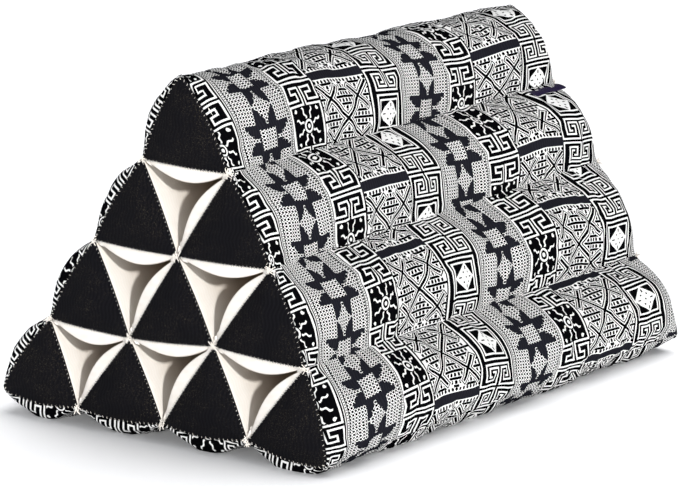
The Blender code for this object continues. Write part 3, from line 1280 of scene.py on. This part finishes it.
def geometry_tree(name, inputs):
    """A geometry tree with a Geometry input and the named inputs, its ends and identifiers."""
    tree = bpy.data.node_groups.new(name, "GeometryNodeTree")
    tree.interface.new_socket("Geometry", in_out="INPUT", socket_type="NodeSocketGeometry")
    identifiers = {}
    for label, (kind, default) in inputs.items():
        socket = tree.interface.new_socket(label, in_out="INPUT", socket_type=kind)
        if default is not None:
            socket.default_value = default
        identifiers[label] = socket.identifier
    tree.interface.new_socket("Geometry", in_out="OUTPUT", socket_type="NodeSocketGeometry")
    return tree, tree.nodes.new("NodeGroupInput"), tree.nodes.new("NodeGroupOutput"), identifiers


def add_node(tree, kind, inputs, **settings):
    """A node with its settings, its inputs given a value or linked to another node's output."""
    node = tree.nodes.new(kind)
    for label, value in settings.items():
        setattr(node, label, value)
    for label, value in inputs.items():
        if isinstance(value, bpy.types.NodeSocket):
            tree.links.new(value, node.inputs[label])
        else:
            node.inputs[label].default_value = value
    return node


def times(tree, number, factor):
    """A number's output times a factor."""
    return add_node(tree, "ShaderNodeMath", {0: number, 1: factor}, operation="MULTIPLY").outputs[0]


def random_value(tree, seed, low, high):
    """A random number for each point, between low and high."""
    values = {2: low, 3: high, "Seed": seed}
    return add_node(tree, "FunctionNodeRandomValue", values, data_type="FLOAT").outputs[1]


def turn_to(tree, axis, vector, **settings):
    """A rotation that turns an axis towards a vector."""
    return add_node(
        tree, "FunctionNodeAlignRotationToVector", {"Vector": vector}, axis=axis, **settings
    )


def outward_vector(tree):
    """Each point's own outward direction."""
    node = add_node(
        tree, "GeometryNodeInputNamedAttribute", {"Name": "outward"}, data_type="FLOAT_VECTOR"
    )
    return node.outputs["Attribute"]


def set_out(tree, entry, leave, points, shape, rotation, turn, scale):
    """Copies of a shape on the points, each turned about its own axis, made real and painted."""
    spin = add_node(tree, "ShaderNodeCombineXYZ", turn)
    turned = add_node(tree, "FunctionNodeEulerToRotation", {"Euler": spin.outputs[0]})
    rotate = add_node(
        tree,
        "FunctionNodeRotateRotation",
        {"Rotation": rotation, "Rotate By": turned.outputs["Rotation"]},
        rotation_space="LOCAL",
    )
    copies = add_node(
        tree,
        "GeometryNodeInstanceOnPoints",
        {
            "Points": points,
            "Instance": shape,
            "Rotation": rotate.outputs["Rotation"],
            "Scale": scale,
        },
    )
    real = add_node(
        tree, "GeometryNodeRealizeInstances", {"Geometry": copies.outputs["Instances"]}
    )
    paint = add_node(
        tree,
        "GeometryNodeSetMaterial",
        {"Geometry": real.outputs["Geometry"], "Material": entry.outputs["Material"]},
    )
    tree.links.new(paint.outputs["Geometry"], leave.inputs["Geometry"])


def whip_stitch_tree():
    """Short threads laid across a seam line, one every Pitch."""
    tree, entry, leave, identifiers = geometry_tree(
        "Whip stitches",
        {
            "Pitch": ("NodeSocketFloat", 0.004),
            "Reach": ("NodeSocketFloat", 0.003),
            "Thickness": ("NodeSocketFloat", 0.0004),
            "Slant": ("NodeSocketFloat", 0.5),
            "Seed": ("NodeSocketInt", 1),
            "Material": ("NodeSocketMaterial", None),
        },
    )
    given = entry.outputs
    curve = add_node(tree, "GeometryNodeMeshToCurve", {"Mesh": given["Geometry"]})
    points = add_node(
        tree,
        "GeometryNodeCurveToPoints",
        {"Curve": curve.outputs["Curve"], "Length": given["Pitch"]},
        mode="LENGTH",
    )
    # One thread: a low arch of four short pieces
    arch = {"Resolution": 5}
    for label, share in (("Start", -0.5), ("End", 0.5)):
        place = add_node(tree, "ShaderNodeCombineXYZ", {"X": times(tree, given["Reach"], share)})
        arch[label] = place.outputs[0]
    raised = times(tree, given["Thickness"], 2.0)
    for label, share in (("Start Handle", -0.3), ("End Handle", 0.3)):
        place = add_node(
            tree, "ShaderNodeCombineXYZ", {"X": times(tree, given["Reach"], share), "Z": raised}
        )
        arch[label] = place.outputs[0]
    line = add_node(tree, "GeometryNodeCurvePrimitiveBezierSegment", arch, mode="POSITION")
    circle = add_node(
        tree,
        "GeometryNodeCurvePrimitiveCircle",
        {"Resolution": 5, "Radius": given["Thickness"]},
    )
    thread = add_node(
        tree,
        "GeometryNodeCurveToMesh",
        {
            "Curve": line.outputs["Curve"],
            "Profile Curve": circle.outputs["Curve"],
            "Fill Caps": True,
        },
    )
    # Each thread lies across the seam with its arch away from the end
    upright = turn_to(tree, "Z", outward_vector(tree))
    across = turn_to(tree, "Y", points.outputs["Tangent"], pivot_axis="Z")
    tree.links.new(upright.outputs["Rotation"], across.inputs["Rotation"])
    wander = random_value(tree, given["Seed"], -0.35, 0.35)
    lean = add_node(tree, "ShaderNodeMath", {0: given["Slant"], 1: wander}, operation="ADD")
    set_out(
        tree,
        entry,
        leave,
        points.outputs["Points"],
        thread.outputs["Mesh"],
        across.outputs["Rotation"],
        {"Z": lean.outputs[0]},
        random_value(tree, given["Seed"], 0.7, 1.25),
    )
    return tree, identifiers


def pucker_tree():
    """Small crumpled tucks of cloth, one at every point, long towards its outward vector."""
    tree, entry, leave, identifiers = geometry_tree(
        "Puckers",
        {
            "Size": ("NodeSocketFloat", 0.003),
            "Seed": ("NodeSocketInt", 1),
            "Material": ("NodeSocketMaterial", None),
        },
    )
    given = entry.outputs
    lump = add_node(tree, "GeometryNodeMeshIcoSphere", {"Subdivisions": 3, "Radius": 1.0})
    crumple = add_node(tree, "ShaderNodeTexNoise", {"Scale": 1.3, "Detail": 1.0})
    centred = add_node(
        tree,
        "ShaderNodeVectorMath",
        {0: crumple.outputs["Color"], 1: (0.5, 0.5, 0.5)},
        operation="SUBTRACT",
    )
    stronger = add_node(
        tree,
        "ShaderNodeVectorMath",
        {0: centred.outputs[0], 1: (1.3, 2.4, 1.3)},
        operation="MULTIPLY",
    )
    moved = add_node(
        tree,
        "GeometryNodeSetPosition",
        {"Geometry": lump.outputs["Mesh"], "Offset": stronger.outputs[0]},
    )
    longer = add_node(
        tree,
        "ShaderNodeVectorMath",
        {0: (1.25, 0.42, 0.62), "Scale": given["Size"]},
        operation="SCALE",
    )
    set_out(
        tree,
        entry,
        leave,
        given["Geometry"],
        moved.outputs["Geometry"],
        turn_to(tree, "X", outward_vector(tree)).outputs["Rotation"],
        {"X": random_value(tree, given["Seed"], 0.0, 6.28)},
        longer.outputs[0],
    )
    return tree, identifiers


def run_tree(name, lines, outward, tree, identifiers, values):
    """A plain mesh piece from a geometry tree that is run on open lines of points."""
    points = np.concatenate(lines)
    edges = []
    start = 0
    for line in lines:
        edges += [(start + i, start + i + 1) for i in range(len(line) - 1)]
        start += len(line)
    source_mesh = bpy.data.meshes.new(name + "_lines")
    source_mesh.from_pydata([tuple(p) for p in points], edges, [])
    attribute = source_mesh.attributes.new("outward", "FLOAT_VECTOR", "POINT")
    attribute.data.foreach_set("vector", np.concatenate(outward).astype(np.float32).ravel())
    source = bpy.data.objects.new(name + "_lines", source_mesh)
    bpy.context.scene.collection.objects.link(source)
    modifier = source.modifiers.new("Build", "NODES")
    modifier.node_group = tree
    for label, value in values.items():
        modifier[identifiers[label]] = value
    evaluated = source.evaluated_get(bpy.context.evaluated_depsgraph_get())
    mesh = bpy.data.meshes.new_from_object(evaluated)
    bpy.data.objects.remove(source, do_unlink=True)
    if not mesh.polygons:
        raise RuntimeError(f"{name} came out empty")
    mesh.name = name
    mesh.shade_smooth()
    piece = bpy.data.objects.new(name, mesh)
    bpy.context.scene.collection.objects.link(piece)
    return piece


def seam_lines(end, share, inner):
    """Lines along the edges of the black ends, and their outward directions."""
    steps = 16
    lines = []
    outward = []
    for row, place in every_roll():
        ring = cap_rings(row, place, end, GAP + CLOTH, (share,), steps)[0]
        corners = roll_corners(row, place)
        for wall, pair in enumerate(zip(corners, corners[1:] + corners[:1])):
            if is_outer_wall(*pair) == inner:
                continue
            index = [(wall * steps + i) % len(ring) for i in range(steps + 1)]
            lines.append(ring[index])
            outward.append(np.tile([2.0 * end - 1.0, 0.0, 0.0], (steps + 1, 1)))
    return lines, outward


def pucker_points(end):
    """Points just inside the corners of each hollow's mouth, and where each tuck points."""
    outward = 2.0 * end - 1.0
    points = []
    towards = []
    for row in range(1, ROWS):
        for place in range(row):
            corners = [(row, place), (row, place + 1), (row + 1, place + 1)]
            flat = [corner_point(corner, end) for corner in corners]
            centre = sum(flat) / 3
            for number, corner in enumerate(flat):
                inwards = (centre - corner) / np.linalg.norm(centre - corner)
                for reach, depth in PUCKERS[number]:
                    at = corner + inwards * reach
                    points.append(ring_at(at[None, :], end, CLOTH, -outward * depth))
                    towards.append(np.array([[0.0, *inwards]]))
    return points, towards


def knot_lines(end):
    """Short lines in every direction at each corner of a hollow, one for each loose thread."""
    random = np.random.default_rng(70 + end)
    facing = np.array([2.0 * end - 1.0, 0.0, 0.0])
    lines = []
    outward = []
    for corner in STRAYS:
        if corner in ((0, 0), (ROWS, 0), (ROWS, ROWS)):
            continue
        place = ring_at(corner_point(corner, end)[None, :], end, CLOTH)[0]
        for thread in range(KNOT_THREADS):
            turn = random.uniform(0, 2 * math.pi)
            along = np.array([0.0, math.cos(turn), math.sin(turn)])
            wander = np.array([0.0, *random.normal(0, 0.0012, 2)])
            start = place + wander + facing * random.uniform(0.0012, 0.0030)
            tilt = facing + np.array([0.0, *random.normal(0, 0.35, 2)])
            lines.append(np.array([start, start + along * 0.002]))
            outward.append(np.tile(tilt, (2, 1)))
    return lines, outward


# Ribbon

LABEL_LENGTH = 0.053
LABEL_SAG = Vector((0.0, -0.0010, -0.0026))
LABEL_CLOTH = 0.0012
LABEL_CLEARANCE = 0.0014
LABEL_START = 150.0
LABEL_RUNS = ((0.0030, 178.0), (0.0035, 190.0), (0.0035, 199.0))


def build_ribbon(settings):
    """The folded ribbon, curling up out of the seam below the top roll."""
    steps = 6
    seam = outer_corners().index((1, 0)) * steps
    inner_s = 1.0 - LABEL_LENGTH / LENGTH
    end_seam, inner_seam = (
        ring_at(offset(section(outer_corners(), s, steps), CLOTH), s, 0.0)[seam]
        for s in (1.0, inner_s)
    )
    along = (end_seam - inner_seam) / np.linalg.norm(end_seam - inner_seam)
    turns = [(LABEL_CLEARANCE, LABEL_START)] + list(LABEL_RUNS)
    offsets = [np.zeros(3)]
    for length, degrees in turns:
        angle = math.radians(degrees)
        offsets.append(offsets[-1] + np.array([0.0, math.cos(angle), math.sin(angle)]) * length)
    offsets = np.array(offsets[1:])
    fine = np.linspace(0, len(offsets) - 1, 13)
    profile = np.stack(
        [np.interp(fine, range(len(offsets)), offsets[:, axis]) for axis in range(3)], axis=1
    )
    count = 33
    shares = np.linspace(0.0, 1.0, count)
    profile = profile + np.array(LABEL_SAG)
    grid = np.array([inner_seam + along * LABEL_LENGTH * t + profile for t in shares])
    curl = ripple(shares * 0.05, 77, 40.0)[:, None] * np.linspace(0, 1, 13)[None, :] ** 2
    grid[:, :, 2] += curl * 0.0006
    faces = grid_faces(count, 13, False)
    material = shared_material("ribbon_weave", purple_ribbon, settings)
    piece = add_piece("folded_ribbon", grid.reshape(-1, 3), faces, material)
    corners = corner_vertices(piece.data)
    wide = np.linalg.norm(np.diff(profile, axis=0), axis=1).sum()
    set_uv(
        piece,
        "Weave",
        np.stack([corners // 13 / (count - 1) * LABEL_LENGTH, corners % 13 / 12 * wide], axis=1),
    )
    thicken = piece.modifiers.new("Thickness", "SOLIDIFY")
    thicken.thickness = LABEL_CLOTH
    thicken.offset = 0.0
    return piece, wide


# Settings


class CushionSettings(PropertyGroup):
    """Sizes and colours of the cushion's cloth and thread."""

    wall_steps: IntProperty(
        name="Wall steps", description="Facets across a wall", default=24, min=6
    )
    wrap_stations: IntProperty(
        name="Wrap stations", description="Facets along the patterned cloth", default=132, min=12
    )
    roll_stations: IntProperty(
        name="Roll stations", description="Facets along a roll", default=90, min=12
    )
    cloth: FloatProperty(
        name="Cloth thickness",
        description="Thickness of the patterned and the black cloth",
        default=0.0012,
        unit="LENGTH",
    )
    thread: FloatProperty(
        name="Thread pitch", description="Millimetres between neighbouring threads", default=0.55
    )
    pressure: FloatProperty(
        name="Pressure", description="Pressure of the filling on the cloth", default=4.0
    )
    slack: FloatProperty(
        name="Slack", description="How much too long the cloth is between its seams", default=0.03
    )
    fold_stiffness: FloatProperty(
        name="Fold stiffness", description="How hard the cloth is to fold", default=0.6
    )
    white_yarn: FloatVectorProperty(
        name="White yarn",
        description="Lit colour of the white yarn",
        default=(0.90, 0.90, 0.89),
        subtype="COLOR",
    )
    shaded_yarn: FloatVectorProperty(
        name="Shaded yarn",
        description="White yarn between its threads",
        default=(0.62, 0.62, 0.615),
        subtype="COLOR",
    )
    black_yarn: FloatVectorProperty(
        name="Black yarn",
        description="Black ground of the pattern",
        default=(0.0012, 0.0012, 0.0016),
        subtype="COLOR",
    )
    navy_yarn: FloatVectorProperty(
        name="Charcoal yarn",
        description="Solid stars and bars",
        default=(0.0190, 0.0195, 0.0265),
        subtype="COLOR",
    )
    dark_thread: FloatVectorProperty(
        name="Dark thread",
        description="Raised threads of the dark ground",
        default=(0.0036, 0.0036, 0.0046),
        subtype="COLOR",
    )
    cream: FloatVectorProperty(
        name="Cream cotton", description="Casing cloth", default=(0.92, 0.885, 0.84), subtype="COLOR"
    )
    cream_shade: FloatVectorProperty(
        name="Cream shade",
        description="Casing cloth between its threads",
        default=(0.86, 0.80, 0.72),
        subtype="COLOR",
    )
    # Painted shade deep in the hollows: a browner cream that is mixed in by depth from the end.
    hollow_painted_shade: FloatVectorProperty(
        name="Painted hollow shade",
        description="Painted shade of the casing deep in the hollows",
        default=(0.56, 0.42, 0.28),
        subtype="COLOR",
    )
    black_cloth: FloatVectorProperty(
        name="Black cotton", description="End cloth", default=(0.0030, 0.0030, 0.0042), subtype="COLOR"
    )
    black_thread: FloatVectorProperty(
        name="Black thread",
        description="Raised threads of the end cloth",
        default=(0.0075, 0.0075, 0.0095),
        subtype="COLOR",
    )
    lint: FloatVectorProperty(
        name="Lint", description="Lint on the end cloth", default=(0.045, 0.038, 0.028), subtype="COLOR"
    )
    ribbon: FloatVectorProperty(
        name="Ribbon", description="Ribbon colour", default=(0.014, 0.005, 0.045), subtype="COLOR"
    )
    ribbon_shade: FloatVectorProperty(
        name="Ribbon shade",
        description="Ribbon between its ribs",
        default=(0.004, 0.002, 0.014),
        subtype="COLOR",
    )


class StudioSettings(PropertyGroup):
    """Camera, floor and lights."""

    azimuth: FloatProperty(
        name="Azimuth", description="Of the camera", default=math.radians(-56.9567), subtype="ANGLE"
    )
    elevation: FloatProperty(
        name="Elevation", description="Of the camera", default=math.radians(13.0279), subtype="ANGLE"
    )
    roll: FloatProperty(
        name="Roll", description="Of the camera", default=math.radians(1.7817), subtype="ANGLE"
    )
    distance: FloatProperty(
        name="Distance", description="From the camera to the cushion", default=4.196, unit="LENGTH"
    )
    lens: FloatProperty(name="Lens", description="Focal length in millimetres", default=268.0)
    floor_color: FloatVectorProperty(
        name="Floor", description="Floor colour", default=(0.93, 0.93, 0.94), subtype="COLOR"
    )
    glow: FloatProperty(name="Glow", description="Light that the floor gives off", default=0.12)
    sky: FloatProperty(name="Sky", description="Strength of the even light", default=0.46)
    key: FloatProperty(name="Key light", description="Strength of the key light", default=3.3)
    fill: FloatProperty(name="Fill light", description="Watts of the fill light", default=13.0)
    floor_light: FloatProperty(
        name="Floor light", description="Strength of the light on the floor", default=2.5
    )


CAMERA_TARGET = Vector((0.0, 0.0, 0.15))
CAMERA_SIDE = -0.0121
CAMERA_RISE = -0.0318
SENSOR = 36.0
KEY_FROM = (-0.49, -0.80, 0.35)
FLOOR_FROM = (0.36, -0.02, 0.90)


def add_sun(name, strength, degrees, source, color, lit):
    """A light from far away that reaches only the pieces in a collection."""
    data = bpy.data.lights.new(name, "SUN")
    data.energy = strength
    data.angle = math.radians(degrees)
    data.color = color
    light = bpy.data.objects.new(name, data)
    light.rotation_euler = Vector(source).to_track_quat("Z", "Y").to_euler()
    light.light_linking.receiver_collection = lit
    bpy.context.scene.collection.objects.link(light)


def add_area_light(name, place, size, watts, color, lit):
    """A soft square light that faces the cushion."""
    data = bpy.data.lights.new(name, "AREA")
    data.size = size
    data.energy = watts
    data.color = color
    light = bpy.data.objects.new(name, data)
    light.location = place
    light.rotation_euler = (CAMERA_TARGET - Vector(place)).to_track_quat("-Z", "Y").to_euler()
    light.light_linking.receiver_collection = lit
    bpy.context.scene.collection.objects.link(light)


def floor_material(color, glow):
    """Plain pale floor that glows a little, as under a bright backdrop."""
    material, tree, shader = new_material("studio_floor", 0.9, 0.1)
    speckle = noise(tree, 3.0)
    paler = tuple(min(1.0, c * 1.02) for c in color)
    tree.links.new(mix_color(tree, speckle, color, paler), shader.inputs["Base Color"])
    shader.inputs["Emission Color"].default_value = (1.0, 1.0, 1.0, 1.0)
    shader.inputs["Emission Strength"].default_value = glow
    return material


def add_camera(studio):
    """The camera, turned by its roll about its own view."""
    around = studio.azimuth
    up_angle = studio.elevation
    back = Vector(
        (
            math.sin(around) * math.cos(up_angle),
            -math.cos(around) * math.cos(up_angle),
            math.sin(up_angle),
        )
    )
    level = (-back).cross(Vector((0.0, 0.0, 1.0))).normalized()
    rise = level.cross(-back)
    cosine, sine = math.cos(studio.roll), math.sin(studio.roll)
    right = level * cosine + rise * sine
    up = rise * cosine - level * sine
    place = CAMERA_TARGET + back * studio.distance + right * CAMERA_SIDE + up * CAMERA_RISE
    data = bpy.data.cameras.new("camera")
    data.sensor_width = SENSOR
    data.lens = studio.lens
    data.clip_end = 50.0
    camera = bpy.data.objects.new("camera", data)
    turn = Matrix((right, up, back)).transposed().to_4x4()
    camera.matrix_world = Matrix.Translation(place) @ turn
    bpy.context.scene.collection.objects.link(camera)
    bpy.context.scene.camera = camera


# Operators


def dress(piece, slot, *nodes):
    """Sets a piece on the cushion's body, in place of CAD nodes. The slot is not used."""
    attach(piece, BODY)
    if nodes:
        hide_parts(*nodes)


class CUSHION_OT_wrap(Operator):
    """Wraps the cushion in patterned cloth"""

    bl_idname = "cushion.wrap"
    bl_label = "Patterned wrap"

    def execute(self, context):
        settings = context.scene.cushion
        piece, grid = build_wrap(settings)
        dress(piece, "patterned_cotton", "patterned_cover")
        return {"FINISHED"}


class CUSHION_OT_rolls(Operator):
    """Makes the ten filled cream casings"""

    bl_idname = "cushion.rolls"
    bl_label = "Roll casings"

    def execute(self, context):
        for row, place in every_roll():
            piece = build_roll(row, place, context.scene.cushion)
            dress(piece, "cream_cotton", f"roll_{row + 1}_{place + 1}")
        return {"FINISHED"}


class CUSHION_OT_ends(Operator):
    """Closes the rolls with black cloth"""

    bl_idname = "cushion.ends"
    bl_label = "Black ends"

    def execute(self, context):
        for row, place in every_roll():
            for end, side in enumerate(SIDES):
                piece, sheet = build_end_panel(row, place, end, context.scene.cushion)
                dress(piece, "black_cotton", f"end_panel_{side}_{row + 1}_{place + 1}")
                low, high = sheet[0].min(axis=0), sheet[0].max(axis=0)
                width, height = float(high[1] - low[1]), float(high[2] - low[2])
        return {"FINISHED"}


Run = namedtuple("Run", "name lines pitch reach thickness material")


class CUSHION_OT_stitches(Operator):
    """Sews the ends with cream and black thread"""

    bl_idname = "cushion.stitches"
    bl_label = "Stitches"

    def execute(self, context):
        settings = context.scene.cushion
        tree, identifiers = whip_stitch_tree()
        tucks = pucker_tree()
        cloth = shared_material("cream_weave", cream_cotton, settings)
        cream = shared_material(
            "cream_thread", sewing_thread, "cream_thread", settings.cream, settings.cream_shade
        )
        black = shared_material(
            "black_thread", sewing_thread, "black_thread", settings.black_yarn, settings.dark_thread
        )
        for end, side in enumerate(SIDES):
            knots = knot_lines(end)
            values = {"Size": 0.0028, "Seed": 11 + end, "Material": cloth}
            piece = run_tree(f"puckers_{side}", *pucker_points(end), *tucks, values)
            dress(piece, "cream_cotton")
            for run in (
                Run("cream_ticks", seam_lines(end, 0.985, True), 0.0034, 0.0013, 0.00013, cream),
                Run("black_ticks", seam_lines(end, 0.995, True), 0.0024, 0.0017, 0.00017, black),
                Run("edge_ticks", seam_lines(end, 0.975, False), 0.0040, 0.0018, 0.00014, cream),
                Run("knots", knots, 1.0, 0.0072, 0.00034, cream),
            ):
                values = {
                    "Pitch": run.pitch,
                    "Reach": run.reach,
                    "Thickness": run.thickness,
                    "Slant": 0.3,
                    "Seed": 3 + end,
                    "Material": run.material,
                }
                piece = run_tree(f"{run.name}_{side}", *run.lines, tree, identifiers, values)
                dress(piece, "black_cotton" if run.material == black else "cream_cotton")
        return {"FINISHED"}


class CUSHION_OT_ribbon(Operator):
    """Adds the folded ribbon in the seam"""

    bl_idname = "cushion.ribbon"
    bl_label = "Ribbon"

    def execute(self, context):
        piece, wide = build_ribbon(context.scene.cushion)
        dress(piece, "purple_ribbon", "label_ribbon")
        return {"FINISHED"}


class CUSHION_OT_studio(Operator):
    """Adds the floor, the lights and the camera"""

    bl_idname = "cushion.studio"
    bl_label = "Studio"

    def execute(self, context):
        studio = context.scene.cushion_studio
        lit = bpy.data.collections.new("lit_cushion")
        for piece in context.scene.objects:
            if piece.type == "MESH":
                lit.objects.link(piece)
        size = 30.0
        points = [(-size, -size, 0), (size, -size, 0), (size, size, 0), (-size, size, 0)]
        floor = add_piece(
            "studio_floor",
            points,
            [(0, 1, 2, 3)],
            floor_material(studio.floor_color, studio.glow),
            False,
        )
        world = bpy.data.worlds.new("studio")
        world.use_nodes = True
        sky = world.node_tree.nodes["Background"]
        sky.inputs["Color"].default_value = (0.95, 0.97, 1.0, 1.0)
        sky.inputs["Strength"].default_value = studio.sky
        context.scene.world = world
        on_floor = bpy.data.collections.new("lit_floor")
        on_floor.objects.link(floor)
        add_sun("key_light", studio.key, 4.0, KEY_FROM, (1.0, 0.99, 0.975), lit)
        add_sun("floor_light", studio.floor_light, 50.0, FLOOR_FROM, (1.0, 1.0, 1.0), on_floor)
        add_area_light("fill_light", (-2.4, 0.3, 0.65), 1.2, studio.fill, (1.0, 1.0, 1.0), lit)
        add_camera(studio)
        context.scene.view_settings.view_transform = "Standard"
        return {"FINISHED"}


class CUSHION_PT_sidebar(Panel):
    """Shows the cushion's steps and their settings in the sidebar"""

    bl_idname = "CUSHION_PT_sidebar"
    bl_label = "Triangle cushion"
    bl_space_type = "VIEW_3D"
    bl_region_type = "UI"
    bl_category = "Cushion"

    def draw(self, context):
        for operator in OPERATORS:
            self.layout.operator(operator.bl_idname)
        for group in (context.scene.cushion, context.scene.cushion_studio):
            box = self.layout.box()
            for name in group.__annotations__:
                box.prop(group, name)


OPERATORS = (
    CUSHION_OT_rolls,
    CUSHION_OT_wrap,
    CUSHION_OT_ends,
    CUSHION_OT_stitches,
    CUSHION_OT_ribbon,
    CUSHION_OT_studio,
)
CLASSES = (CushionSettings, StudioSettings, *OPERATORS, CUSHION_PT_sidebar)


def register():
    """Registers the add-on's classes and settings."""
    for item in CLASSES:
        bpy.utils.register_class(item)
    bpy.types.Scene.cushion = PointerProperty(type=CushionSettings)
    bpy.types.Scene.cushion_studio = PointerProperty(type=StudioSettings)


def unregister():
    """Removes the settings and classes again."""
    del bpy.types.Scene.cushion_studio
    del bpy.types.Scene.cushion
    for item in reversed(CLASSES):
        bpy.utils.unregister_class(item)


def main():
    """Builds every piece."""
    register()
    for step in (
        bpy.ops.cushion.rolls,
        bpy.ops.cushion.wrap,
        bpy.ops.cushion.ends,
        bpy.ops.cushion.stitches,
        bpy.ops.cushion.ribbon,
        bpy.ops.cushion.studio,
    ):
        step()


if __name__ == "__main__":
    main()
